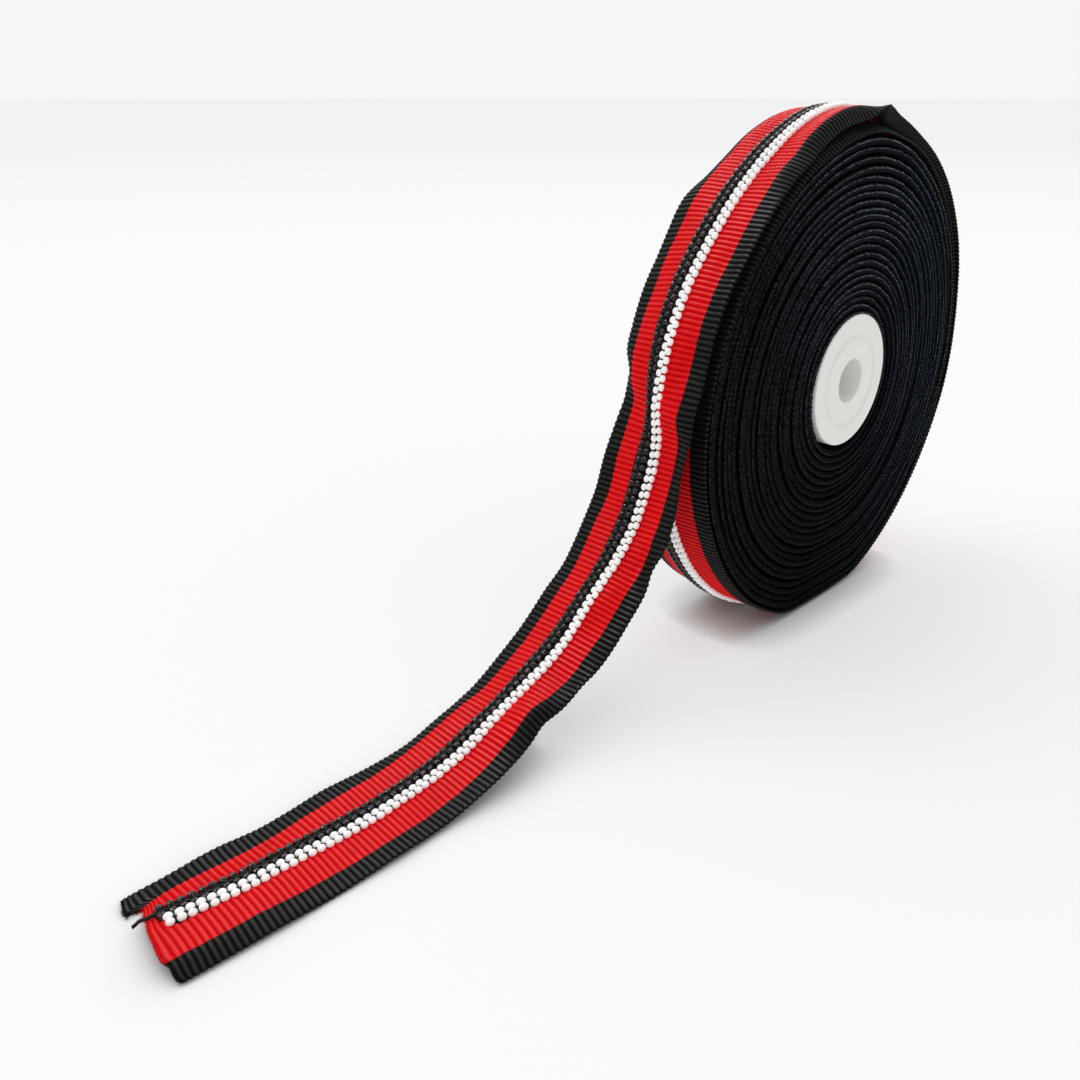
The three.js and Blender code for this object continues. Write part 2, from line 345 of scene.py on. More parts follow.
def tight_radius(angle):
    """Radius of the cloth's middle where the turns are wound tight."""
    return TIGHT_RADIUS + TURN_PITCH * (np.asarray(angle, float) - LOOSE_START) / 360


def round_the_roll(angle, radius):
    """Y and Z of a place on the turns, which sit off centre near the hub and flat on the floor."""
    turn = np.radians(angle)
    share = np.clip((RIDGE_RADIUS - radius) / (RIDGE_RADIUS - HUB_RADIUS), 0, 1)
    y = radius * np.cos(turn) + share * HUB_MIDDLE[1]
    z = ROLL_AXIS_Z + radius * np.sin(turn) + share * (HUB_MIDDLE[2] - ROLL_AXIS_Z)
    turns_below = np.maximum(0, (TIGHT_RADIUS - radius) / TURN_PITCH)
    floor = FLOOR_LIFT + turns_below * (TURN_PITCH - TURN_SQUEEZE)
    over = z - floor
    rounded = 0.5 * (over + np.sqrt(over * over + FLOOR_BLEND))
    lying = floor + rounded - FLOOR_DIP * np.exp(-over * over)
    return y, np.where((np.sin(turn) < 0) & (over < FLOOR_REACH), lying, z)


def inner_curl(angle, length, side):
    """How far an edge of the inner turns stands off: it hangs down, and no two turns match."""
    up = np.sin(np.radians(angle))
    hang, rising = NEAR_HANG if side > 0 else FAR_HANG
    curl = hang + rising * up
    for size, spacing, seed in EDGE_WANDERS:
        curl = curl + drifting(length, size, spacing, seed + side)
    if side < 0:
        return curl
    depth = TIGHT_RADIUS - tight_radius(angle)
    from_top = (np.asarray(angle, float) % 360 - BULGE_ANGLE) / BULGE_SPREAD
    return curl + BULGE * np.exp(-from_top * from_top) * np.clip(1.05 - depth / BULGE_DEPTH, 0, 1)


def run_length(y, z):
    """Length of a run from its start to each of its places."""
    return np.concatenate([[0.0], np.cumsum(np.hypot(np.diff(y), np.diff(z)))])


def outer_turns(angle):
    """Y and Z of places on the outer turn and the loose turn."""
    angles, radii = np.array(TURN_ROWS, float).T
    return round_the_roll(angle, smooth(angles, radii, angle))


class Path:
    """The middle of a stretch of ribbon, sampled finely enough to place anything on it."""

    def __init__(self, y, z, drift, shape, start=0.0):
        self.length = start + run_length(y, z)
        self.rows = (drift, y, z)
        self.end = float(self.length[-1])
        self.shape = shape

    def places(self, at):
        return np.stack([np.interp(at, self.length, row) for row in self.rows], axis=-1)

    def middle(self, at):
        """Places of the cloth's middle, and the directions along it and out of its face."""
        ahead = np.minimum(at + DIRECTION_REACH, self.end)
        behind = np.maximum(at - DIRECTION_REACH, self.length[0])
        along = self.places(ahead) - self.places(behind)
        along[..., 0] = 0
        along /= np.maximum(np.linalg.norm(along, axis=-1, keepdims=True), 1e-9)
        out = np.stack([np.zeros_like(at), along[..., 2], -along[..., 1]], axis=-1)
        return self.places(at), along, out


def start_of_loose_turn():
    """Length along the outer path at which the loose turn begins."""
    y, z = outer_turns(np.arange(OUTER_START, LOOSE_START + 0.01, 0.5))
    return float(np.hypot(np.diff(y), np.diff(z)).sum())


def winding_path():
    """The inner turns, from the hub out to where the outer turn starts."""
    first = LOOSE_START - 360 * (TIGHT_RADIUS - FIRST_RADIUS) / TURN_PITCH
    angle = np.arange(first, OUTER_START + 0.25, 0.5)
    angle[-1] = OUTER_START
    y, z = round_the_roll(angle, tight_radius(angle))
    length = run_length(y, z)
    end = length[-1]
    settle = ease(length, end - SETTLE_LENGTH, end)
    drift = drifting(length, *TURN_DRIFT) * (1 - settle)
    far, near = inner_curl(angle, length, -1), inner_curl(angle, length, 1)
    hangs = zip([far] * 3 + [near] * 4, HANG_SHARES, SHAPE[:, 0], strict=True)
    shape = [edge * share * (1 - settle) + joined * settle for edge, share, joined in hangs]
    return Path(y, z, drift, (length - end, shape), start=-end)


def outer_path():
    """The outer turn, the loose turn and the loose end in one run, from length zero."""
    y, z = outer_turns(np.arange(OUTER_START, TURN_ROWS[-1][0] + 0.01, 3.0))
    ends = np.array(END_ROWS, float).T
    joined = [np.concatenate(pair) for pair in zip((y, z, np.zeros_like(y)), ends, strict=True)]
    chord = run_length(*joined[:2])
    fine = np.arange(0, chord[-1], 0.25)
    shape = (SHAPE_AT + start_of_loose_turn(), SHAPE)
    return Path(*(smooth(chord, column, fine) for column in joined), shape)


WINDING = winding_path()
OUTER = outer_path()
LOOSE_AT = start_of_loose_turn()
CUT_AT = OUTER.end


def lifts(path, at):
    """How far the cloth stands off its middle: rows along the ribbon, columns across it."""
    keys, columns = path.shape
    knots = np.stack([smooth(keys, column, at) for column in columns], axis=1)
    return smooth_rows(SHAPE_PLACES, knots, PLACES)


class Section:
    """The curved section of the cloth at many places along it, kept at its true width."""

    def __init__(self, path, at):
        self.at = np.asarray(at, float)
        self.place, self.along, self.out = path.middle(self.at)
        self.lift = lifts(path, self.at)
        slope = np.gradient(self.lift, PLACE_STEP, axis=1)
        self.slope = np.clip(slope, -STEEPEST, STEEPEST)
        self.level = np.sqrt(1 - self.slope**2)
        width = np.cumsum((self.level[:, 1:] + self.level[:, :-1]) / 2 * PLACE_STEP, axis=1)
        width = np.concatenate([np.zeros((len(self.at), 1)), width], axis=1)
        anchor = column_at(0)
        self.x = width - width[:, anchor : anchor + 1] + PLACES[anchor]

    def points(self, column, height, ahead=0.0, outward=0.0):
        """Places at a column of PLACES, at a height off the cloth's middle, slid along or out."""
        across = self.x[:, column] - self.slope[:, column] * height + outward
        up = self.lift[:, column] + self.level[:, column] * height
        return (
            self.place
            + np.outer(across, (1.0, 0.0, 0.0))
            + self.out * np.asarray(up)[:, None]
            + self.along * (np.zeros(len(self.at)) + ahead)[:, None]
        )


# ---------- building meshes ----------


def switch_to(mode):
    bpy.ops.object.mode_set(mode=mode)


def clear_points():
    """Deselects every point of the active mesh, so that some can be picked."""
    switch_to("EDIT")
    bpy.ops.mesh.select_all(action="DESELECT")
    switch_to("OBJECT")


def mesh_object(name, points, faces, material, attributes=None):
    """A finished piece from points in millimetres and its faces, smooth shaded."""
    mesh = bpy.data.meshes.new(name)
    mesh.from_pydata((np.reshape(points, (-1, 3)) * MM).tolist(), [], faces)
    for key, values in (attributes or {}).items():
        kind, field = ("FLOAT_VECTOR", "vector") if np.ndim(values) > 1 else ("FLOAT", "value")
        stored = mesh.attributes.new(key, kind, "POINT")
        stored.data.foreach_set(field, np.asarray(values, np.float32).ravel())
    mesh.shade_smooth()
    mesh.materials.append(material)
    mesh.update()
    piece = bpy.data.objects.new(name, mesh)
    bpy.context.scene.collection.objects.link(piece)
    return piece


def ring_faces(stations, size):
    """Faces of a tube of like rings, which run from far to near over the top."""
    faces = []
    for row in range(stations - 1):
        base = row * size
        for i in range(size):
            j = (i + 1) % size
            faces.append((base + i, base + size + i, base + size + j, base + j))
    return faces


def closed_tube(stations, size, first=0):
    """Faces of a tube of like rings, closed at both ends, whose points start at a number."""
    last = first + (stations - 1) * size
    sides = [tuple(first + v for v in face) for face in ring_faces(stations, size)]
    ends = [tuple(range(first, first + size)), tuple(range(last + size - 1, last - 1, -1))]
    return sides + ends


def end_faces(first, size, forward):
    """The flat end of a tube whose ring holds a tip, a run over the top, a tip and a run back."""
    faces = []
    for i in range(size // 2):
        loop = [first + i, first + (size - i) % size, first + size - i - 1, first + i + 1]
        corners = list(dict.fromkeys(loop))
        if len(corners) > 2:
            faces.append(tuple(corners if forward else corners[::-1]))
    return faces


def finish_piece(piece, slot, *nodes):
    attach(piece, "root")
    if nodes:
        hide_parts(*nodes)
    return piece


# ---------- shaders ----------


def math_node(*operation):
    """A method of Wire that adds a Math node for the wire, these values and another value."""
    return lambda wire, other: wire.math(*operation, other)


class Wire:
    """A value in a node tree. Sums and products of wires add the Math nodes for them."""

    __add__ = __radd__ = math_node("ADD")
    __sub__ = math_node("SUBTRACT")
    __rsub__ = math_node("MULTIPLY_ADD", -1.0)
    __mul__ = __rmul__ = math_node("MULTIPLY")
    __truediv__ = math_node("DIVIDE")
    at_least = math_node("MAXIMUM")

    def __init__(self, nodes, socket):
        self.nodes = nodes
        self.socket = socket

    def math(self, operation, *others, clamp=False):
        settings = {"operation": operation, "use_clamp": clamp}
        return self.nodes.node("Math", settings, dict(enumerate((self, *others))))

    def past(self, edge, blur):
        """0 below an edge and 1 above it, with a soft step of that width."""
        return ((self - edge) / blur).math("ADD", 0.5, clamp=True)

    def between(self, start, end, blur):
        """1 between two edges and 0 beyond them, with soft steps of that width."""
        return self.past(start, blur) * (1 - self.past(end, blur))


class Nodes:
    """A node tree, and the kinds of node that this script puts in it."""

    def __init__(self, tree):
        self.tree = tree

    def node(self, kind, settings=None, inputs=None, output=0):
        made = self.tree.nodes.new("ShaderNode" + kind)
        for key, value in (settings or {}).items():
            setattr(made, key, value)
        for key, value in (inputs or {}).items():
            if isinstance(value, Wire):
                self.tree.links.new(value.socket, made.inputs[key])
            else:
                made.inputs[key].default_value = value
        return Wire(self, made.outputs[output])

    def stored(self, name, output):
        """A value or vector that the mesh stores."""
        return self.node("Attribute", {"attribute_name": name}, output=output)

    def place(self):
        """Place on the object, in metres."""
        return self.node("TexCoord", output=3)

    def part(self, vector, axis):
        return self.node("SeparateXYZ", None, {0: vector}, output=axis)

    def mix(self, factor, first, second):
        """Two colours mixed by a factor."""
        inputs = {0: factor, 6: first, 7: second}
        return self.node("Mix", {"data_type": "RGBA"}, inputs, output=2)

    def scaled(self, colour, factor):
        """A colour made lighter or darker."""
        if not isinstance(colour, Wire):
            colour = colour[:3]
        inputs = {0: colour, "Scale": factor}
        return self.node("VectorMath", {"operation": "SCALE"}, inputs)

    def noise(self, place, scale, detail):
        inputs = {"Vector": place, "Scale": scale, "Detail": detail}
        return self.node("TexNoise", None, inputs)


class Shader(Nodes):
    """One material, with a Principled surface whose plain sockets are set once."""

    def __init__(self, name, **plain):
        self.material = bpy.data.materials.new(name)
        self.material.use_nodes = True
        super().__init__(self.material.node_tree)
        self.surface = self.tree.nodes["Principled BSDF"]
        for socket, value in plain.items():
            self.surface.inputs[socket.replace("_", " ")].default_value = value

    def feed(self, socket, wire):
        self.tree.links.new(wire.socket, self.surface.inputs[socket])

    def bump(self, height, distance):
        """Feeds a height, times a distance in millimetres, to the surface's normal."""
        inputs = {"Height": height, "Distance": distance * MM, "Strength": 1.0}
        self.feed("Normal", self.node("Bump", None, inputs))


# The stripes' soft and stepped borders, the warp yarns' spacing, how much lighter a rib's crest is
# painted than its valley where it is black, as a painted highlight, and the black ground that the
# black beads are sewn on.
STRIPE_BLUR, STRIPE_STEP = 0.12, 0.16
YARN_PITCH = 0.31
CREST_HIGHLIGHT_GAIN = 3.0
SEWN_FAR, SEWN_NEAR = FAR_BEADS - 0.2, NEAR_BEADS - 0.8
SEWN_END = CUT_AT - BLACK_PAIR["gap"] - 2.0
# Painted shade in the ribs' valleys: the share of the red's red, green and blue kept there.
VALLEY_SHADE_TINT = (0.70, 0.4, 0.4)
# Where the outer turn comes steeply down the front, as edge and blur, and how much darker it is
# painted there, as shade.
STEEP_START, STEEP_END, STEEP_PAINTED_SHADE = (120.0, 40.0), (245.0, 25.0), 0.16
# The wound turns' edges: the shoulder between their sides that gets a painted highlight, as edge
# and blur, the flecks' scale, gain, cut and least, and the painted light that makes them lighter
# towards
# the back and the top: at the axis, per metre back and up, least.
SHOULDER_START, SHOULDER_END = (0.80, 0.10), (0.93, 0.06)
FLECK_SCALE, FLECK_GAIN, FLECK_CUT, FLECK_LEAST = 1.9, 6.0, 2.1, 0.15
PAINTED_LIGHT_BASE, PAINTED_LIGHT_BACK, PAINTED_LIGHT_UP, PAINTED_LIGHT_LEAST = 0.3, 14, 6, 0.25
# The share of the red kept on the underside of the laid cloth; the rest is painted black, as shade.
UNDERSIDE_RED_IN_SHADE = 0.15
# A faint glow of the beads' own colour: painted light that lifts their shade.
BEAD_GLOW = 0.12
CONTACT_SHADE = 0.0125  # reach, in metres, of the floor's shade at the foot of things
# The floor is painted darker far from the middle, as shade: where, as edge and blur, and how much.
FAR_SHADE_EDGE, FAR_SHADE = (1.7, 2.2), 0.09  # where the floor fades, as edge and blur, and how much


def cloth_material(name, cloth, red, black, gloss, painted_shoulder_highlight=0.0):
    """Ribbed weave in stripes that follow the ribbon: warp yarns pass over thick weft ribs."""
    shader = Shader(
        name,
        Sheen_Weight=cloth.sheen,
        Sheen_Roughness=0.45,
        Specular_IOR_Level=0.02,
        Coat_Roughness=0.4,
    )
    weave = shader.stored("weave", 1)
    across, along, side = (shader.part(weave, axis) for axis in range(3))
    ribs = along / (cloth.rib_pitch / MM)
    rib_number = ribs.math("FLOOR")
    crest = (ribs * math.pi).math("SINE").math("ABSOLUTE")
    step = shader.node("TexWhiteNoise", {"noise_dimensions": "1D"}, {"W": rib_number})
    border = across + (step - 0.5) * STRIPE_STEP
    red_zone = border.between(FAR_RED, NEAR_RED, STRIPE_BLUR)
    sewn = border.between(SEWN_FAR, SEWN_NEAR, STRIPE_BLUR) * (1 - along.past(SEWN_END, 0.3))
    red_zone = red_zone * (1 - sewn)
    yarn = (across * (2 * math.pi / YARN_PITCH) + rib_number * math.pi).math("SINE")
    tone = (0.96 + 0.07 * yarn) * (0.85 + 0.3 * shader.noise(weave, 0.35, 3.0))
    fibre = shader.noise(weave, 6.0, 3.0)
    rise = crest * crest
    if painted_shoulder_highlight:
        # Only the turns' edges show: a painted highlight along one shoulder, flecked, and painted
        # light that makes them lighter towards the back and the top and darker towards the front
        # and bottom.
        shoulder = side.past(*SHOULDER_START) * (1 - side.past(*SHOULDER_END))
        fleck = shader.noise(weave, FLECK_SCALE, 2.0) * FLECK_GAIN - FLECK_CUT
        fleck = fleck.at_least(FLECK_LEAST)
        back, up = (shader.part(shader.place(), axis) for axis in (1, 2))
        painted_light_gradient = PAINTED_LIGHT_BASE + PAINTED_LIGHT_BACK * back + PAINTED_LIGHT_UP * up
        painted_light_gradient = painted_light_gradient.at_least(PAINTED_LIGHT_LEAST)
        tone = tone * fleck * painted_light_gradient * (0.6 + painted_shoulder_highlight * shoulder)
        shine = fleck * shoulder * painted_light_gradient
        rise = 0.4 + 0.4 * rise
    else:
        # Red on the underside is mostly painted black as shade, and the steep stretch is painted a
        # little darker as shade.
        shine = rise * rise * fibre * 2
        upper = side.past(0.45, 0.2)
        red_zone = red_zone * (UNDERSIDE_RED_IN_SHADE + (1 - UNDERSIDE_RED_IN_SHADE) * upper)
        steep = along.past(*STEEP_START) * (1 - along.past(*STEEP_END))
        tone = tone * (1 - STEEP_PAINTED_SHADE * steep)
    # Painted shade darkens the ribs' valleys where they are red, and a painted highlight lightens
    # the crests where they are black.
    shaded_valley_red = (*(value * tint for value, tint in zip(red[:3], VALLEY_SHADE_TINT, strict=True)), 1.0)
    lit_crest_black = (*(value * CREST_HIGHLIGHT_GAIN for value in black[:3]), 1.0)
    deep = shader.mix(red_zone, black, shaded_valley_red)
    high = shader.mix(red_zone, lit_crest_black, red)
    shader.feed("Base Color", shader.scaled(shader.mix(rise, deep, high), tone))
    shader.feed("Roughness", 0.7 - 0.1 * crest + 0.1 * fibre)
    shader.feed("Coat Weight", gloss * shine)
    shader.bump((0.5 + 0.5 * yarn) * crest * 0.6 + fibre * 0.4, 0.05)
    return shader.material


def bead_material(name, colour, roughness, coat, gloss=0.5, grain=900.0, bumps=0.01, specks=None):
    """Glossy plastic beads, each a little lighter or darker than the next, with a faint painted
    glow, and with painted glints as fine specks where specks are given.
    """
    shader = Shader(
        name,
        Coat_Weight=coat,
        Coat_Roughness=0.06,
        Specular_IOR_Level=gloss,
        Emission_Color=colour,
        Emission_Strength=BEAD_GLOW,
    )
    place = shader.place()
    haze = shader.noise(place, grain, 2.0)
    base = colour
    if specks:
        # The specks are painted glints, the light caught by the black beads' facets.
        base = shader.mix(shader.noise(place, 2600.0, 1.0).past(0.60, 0.05), base, specks)
    shader.feed("Base Color", shader.scaled(base, 0.94 + 0.06 * shader.stored("shade", 2)))
    shader.feed("Roughness", roughness + 0.12 * haze)
    shader.bump(haze, bumps)
    return shader.material


def thread_material(name, colour):
    """Twisted sewing thread."""
    shader = Shader(name, Specular_IOR_Level=0.25)
    twist = shader.noise(shader.place(), 2400.0, 2.0)
    shader.feed("Base Color", shader.scaled(colour, 0.7 + 0.6 * twist))
    shader.feed("Roughness", 0.6 + 0.2 * twist)
    shader.bump(twist, 0.06)
    return shader.material


def plastic_material(name, colour):
    """Satin moulded plastic with a fine spark-eroded grain and faint flow marks."""
    shader = Shader(name, Specular_IOR_Level=0.4)
    grain = shader.noise(shader.place(), 3500.0, 2.0)
    flow = shader.noise(shader.place(), 120.0, 3.0)
    shader.feed("Base Color", shader.scaled(colour, 0.96 + 0.07 * flow))
    shader.feed("Roughness", 0.42 + 0.14 * grain)
    shader.bump(grain * 0.5 + flow * 0.5, 0.02)
    return shader.material


def floor_material(colour, glow):
    """Plain pale paper, lit from below as a light table is, except close to what stands on it."""
    shader = Shader("PlainFloor", Roughness=0.9, Specular_IOR_Level=0.0, Emission_Strength=glow)
    measure = {"operation": "LENGTH"}
    from_middle = shader.node("VectorMath", measure, {0: shader.place()}, output=1)
    far_shade = 1 - FAR_SHADE * from_middle.past(*FAR_SHADE_EDGE)
    reach = {"Distance": CONTACT_SHADE}
    open_above = shader.node("AmbientOcclusion", {"samples": 8}, reach, output=1)
    black, white = (0.0, 0.0, 0.0, 1.0), (1.0, 1.0, 1.0, 1.0)
    lit = shader.mix(open_above * open_above, black, white)
    shader.feed("Emission Color", shader.scaled(lit, far_shade))
    shader.feed("Base Color", shader.scaled(colour, far_shade))
    return shader.material


# ---------- settings ----------


def level_setting(name, description, default, **limits):
    """A setting that is a plain number."""
    return FloatProperty(name=name, description=description, default=default, **limits)


def length_setting(name, description, default, **limits):
    """A setting in metres that is shown as a length."""
    return level_setting(name, description, default, unit="LENGTH", subtype="DISTANCE", **limits)


def colour_setting(name, description, red, green, blue):
    """A setting that holds an opaque colour."""
    default = (red, green, blue, 1.0)
    return FloatVectorProperty(
        name=name, description=description, default=default, size=4, subtype="COLOR"
    )


class ClothSettings(PropertyGroup):
    rib_pitch: length_setting(
        "Rib Pitch", "Distance between the ribs that run across the ribbon", 0.00127, min=0.0005
    )
    valley_thickness: length_setting(
        "Valley Thickness", "Thickness of the cloth between two ribs", 0.00030
    )
    crest_thickness: length_setting(
        "Crest Thickness", "Thickness of the cloth at the top of a rib", 0.00078
    )
    scallop: length_setting(
        "Selvedge Scallop", "How far each rib stands out at the ribbon's edges", 0.00030
    )
    soft_edge: length_setting(
        "Soft Edge",
        "How much the wound turns' edges swell on each face into the gaps between turns",
        0.00053,
    )
    sheen: level_setting("Sheen", "Soft sheen of the yarns", 0.012, min=0, max=1)
    red: colour_setting("Red", "Colour of the red stripes", 0.87, 0.002, 0.006)
    # The wound colours are a darker red and a darker, bluer black: painted shade for the deep gaps
    # between the wound turns.
    wound_red_in_shade: colour_setting(
        "Wound Red", "Colour of the red stripes deep in the wound turns", 0.03, 0.001, 0.001
    )
    black: colour_setting("Black", "Colour of the black edges", 0.0034, 0.0036, 0.0033)
    wound_black_in_shade: colour_setting(
        "Wound Black", "Colour of the black edges in the wound turns", 0.0014, 0.0028, 0.0048
    )


class BeadSettings(PropertyGroup):
    spacing: length_setting("Spacing", "Distance between beads along a row", 0.00193, min=0.001)
    white_diameter: length_setting("White Diameter", "Diameter of the white beads", 0.00147)
    black_diameter: length_setting("Black Diameter", "Diameter of the black beads", 0.00158)
    white: colour_setting("White", "Colour of the white beads", 0.95, 0.94, 0.935)
    # The specks on the black beads are painted glints.
    glint_speck: colour_setting(
        "Speck", "Colour of the fine specks on the black beads", 0.12, 0.085, 0.08
    )
    black: colour_setting("Black", "Colour of the black beads", 0.003, 0.003, 0.003)


class HubSettings(PropertyGroup):
    segments: IntProperty(
        name="Segments", description="Sides of the hub's circles", default=96, min=24
    )
    hole_radius: length_setting("Hole Radius", "Radius of the spindle hole", 0.00575)
    ring_radius: length_setting(
        "Ring Radius", "Outer radius of the ring pressed into each face", 0.0131
    )
    ring_width: length_setting("Ring Width", "Width of the pressed ring", 0.0009)
    ring_depth: length_setting("Ring Depth", "Depth of the pressed ring", 0.0006)
    colour: colour_setting("Colour", "Colour of the moulded plastic", 0.84, 0.84, 0.81)


class StageSettings(PropertyGroup):
    floor: colour_setting("Floor", "Colour of the plain floor", 0.50, 0.50, 0.50)
    glow: level_setting("Floor Glow", "Even glow of the lit floor away from the object", 0.47)
    surround: level_setting("Surround", "Strength of the even light from all round", 1.59)
    key: level_setting("Key Light", "Strength of the soft main light", 0.36)
    glint: level_setting("Glint Light", "Strength of the compact light seen in gloss", 2.5)
    back: level_setting("Back Light", "Strength of the wide light behind, seen in gloss", 1.2)
    lens: level_setting("Lens", "Focal length of the camera on a 36 mm sensor", 33.31)


# ---------- the pieces ----------


def round_section(count):
    """Columns of PLACES for a strip's top and underside, from far to near, closest at its edges."""
    share = np.linspace(-1, 1, count)
    eased = np.sin(share * math.pi / 2) * CROWDING + share * (1 - CROWDING)
    wanted = eased * (HALF_WIDTH - PLACE_STEP)
    return sorted({column_at(place) for place in wanted})


def woven_strip(name, path, start, end, steps, columns, cloth, material, soft_edge=0.0):
    """A length of ribbed ribbon with real ribs and scalloped edges, as one closed mesh."""
    pitch = cloth.rib_pitch / MM
    valley, crest = cloth.valley_thickness / MM / 2, cloth.crest_thickness / MM / 2
    first, last = math.ceil(start / pitch * steps), math.floor(end / pitch * steps)
    at = np.concatenate([[start], np.arange(first, last + 1) * pitch / steps, [end]])
    at = at[np.concatenate([[True], np.diff(at) > pitch / steps * 0.3])]
    at[-1] = end
    section = Section(path, np.clip(at, path.length[0], path.end))
    rise = abs(np.sin(math.pi * at / pitch))
    half = valley + (crest - valley) * rise
    lean = drifting(at, *RIB_LEAN)
    bow = drifting(at, *RIB_BOW)
    edge = cloth.scallop / MM
    unlike, ribbed, squeezed = PRESSED_EDGE if soft_edge else FREE_EDGE
    rib_end = 1 + unlike * np.random.default_rng(RIB_END_SEED).uniform(-1, 1, len(at))

    def slide(column):
        share = PLACES[column] / HALF_WIDTH
        back = np.interp(PLACES[column], CUT_PLACES, CUT_BACK)
        reach = CUT_REACH + CUT_REACH_GROWTH * max(0.0, back)
        cut = np.clip((at - CUT_AT) / reach + 1, 0, 1)
        return lean * share + bow * share * share - cut * back

    near = len(PLACES) - 1
    upper = [(0, EDGE_SHARE, -EDGE_SHARE * edge), *[(c, 1.0, 0.0) for c in columns]]
    upper.append((near, EDGE_SHARE, EDGE_SHARE * edge))
    under = [(column, -face, outward) for column, face, outward in reversed(upper)]
    rings = [(0, 0.0, -edge), *upper, (near, 0.0, edge), *under]
    grid, weave = [], []
    for column, face, outward in rings:
        inset = HALF_WIDTH - abs(PLACES[column])
        round_off = min(1.0, EDGE_SHARE + inset / EDGE_ROUNDING)
        evenness = squeezed + (1 - squeezed) * rise * rib_end
        swell = soft_edge * math.exp(-((inset - 0.5) ** 2)) * evenness
        height = face * (half * round_off + swell)
        push = outward * (rise * rib_end - RIB_END_MEAN) * ribbed
        grid.append(section.points(column, height, slide(column), push))
        across, side = np.full_like(at, PLACES[column]), np.full_like(at, 0.5 + 0.5 * face)
        weave.append(np.stack([across, at, side], axis=-1))
    grid = np.stack(grid, axis=1)
    weave = np.stack(weave, axis=1)
    thick = np.array([1 + face for _, face, _ in rings]) * half[:, None]
    grid[..., 2] = np.maximum(grid[..., 2], thick + FLOOR_GAP)
    size = len(rings)
    faces = ring_faces(len(at), size)
    faces += end_faces(0, size, False) + end_faces((len(at) - 1) * size, size, True)
    return mesh_object(name, grid, faces, material, {"weave": weave})


def finish_strip(piece, slot, node):
    """Finishes a strip of cloth: attaches it and hides the part that it replaces."""
    finish_piece(piece, slot, node)


def select_cap(drum, side):
    """Picks the drum's flat face on one side."""
    clear_points()
    caps = [p for p in drum.data.polygons if p.normal.x * side > 0.99]
    max(caps, key=lambda p: p.area).select = True


def select_hole(drum, radius):
    """Picks the edges of the openings left in both faces for the spindle hole."""
    clear_points()
    _, y, z = HUB_MIDDLE * MM
    inside = [math.hypot(v.co.y - y, v.co.z - z) < radius * 1.05 for v in drum.data.vertices]
    for edge in drum.data.edges:
        edge.select = all(inside[v] for v in edge.vertices)


class MakeHub(Operator):
    """Model the moulded hub: a drum with a pressed ring in each face and a spindle hole."""

    bl_idname = "ribbon_roll.make_hub"
    bl_label = "Hub"

    def execute(self, context):
        hub = context.scene.ribbon_roll_hub
        middle = [float(v) * MM for v in HUB_MIDDLE]
        radius = HUB_RADIUS * MM
        depth = float(HUB_HIGH[0] - HUB_LOW[0] - 2 * HUB_SINK) * MM
        bpy.ops.object.select_all(action="DESELECT")
        bpy.ops.mesh.primitive_cylinder_add(
            vertices=hub.segments,
            radius=radius,
            depth=depth,
            location=middle,
            rotation=(0, math.pi / 2, 0),
        )
        drum = context.object
        drum.name = drum.data.name = "Hub"
        bpy.ops.object.transform_apply(location=True, rotation=True, scale=True)
        wall = hub.ring_depth
        inner = hub.ring_radius - 2 * wall - hub.ring_width
        for side in (1, -1):
            select_cap(drum, side)
            switch_to("EDIT")
            steps = (
                (radius - hub.ring_radius, 0),
                (wall, -side),
                (hub.ring_width, 0),
                (wall, side),
                (inner - hub.hole_radius, 0),
            )
            for width, way in steps:
                bpy.ops.mesh.inset(thickness=width)
                bpy.ops.transform.translate(value=(way * hub.ring_depth, 0, 0))
            bpy.ops.mesh.delete(type="ONLY_FACE")
            switch_to("OBJECT")
        select_hole(drum, hub.hole_radius)
        switch_to("EDIT")
        bpy.ops.mesh.bridge_edge_loops()
        bpy.ops.mesh.select_all(action="SELECT")
        bpy.ops.mesh.normals_make_consistent(inside=False)
        switch_to("OBJECT")
        bevel = drum.modifiers.new("RoundedEdges", "BEVEL")
        bevel.width, bevel.segments = ROUNDING * MM, ROUNDING_STEPS
        bevel.limit_method, bevel.angle_limit = "ANGLE", math.radians(ROUNDING_ANGLE)
        bpy.ops.object.modifier_apply(modifier=bevel.name)
        bpy.ops.object.shade_smooth_by_angle(angle=math.radians(SMOOTH_ANGLE))
        drum.data.materials.append(plastic_material("MouldedPlastic", hub.colour))
        finish_piece(drum, "hub_plastic", "hub")
        return {"FINISHED"}


def bead_settings():
    return bpy.context.scene.ribbon_roll_beads


def pack_beads(start):
    """The bead rows between the turns: a low band that closes the gaps in the middle."""
    at = np.arange(start, -1.0, PACKED_STEP)
    section = Section(WINDING, at)
    low, high = PACKED_BAND
    corners = ((FAR_BEADS, low), (FAR_BEADS, high), (NEAR_BEADS, high), (NEAR_BEADS, low))
    grid = np.stack(
        [section.points(column_at(place), height) for place, height in corners], axis=1
    )
    faces = closed_tube(len(at), 4)
    shade = np.full(grid.shape[0] * 4, 0.5)
    material = bead_material("PackedBeads", bead_settings().black, 0.3, 0.0)
    band = mesh_object("PackedBeadRows", grid, faces, material, {"shade": shade})
    finish_piece(band, "black_beads", "wound_ribbon")


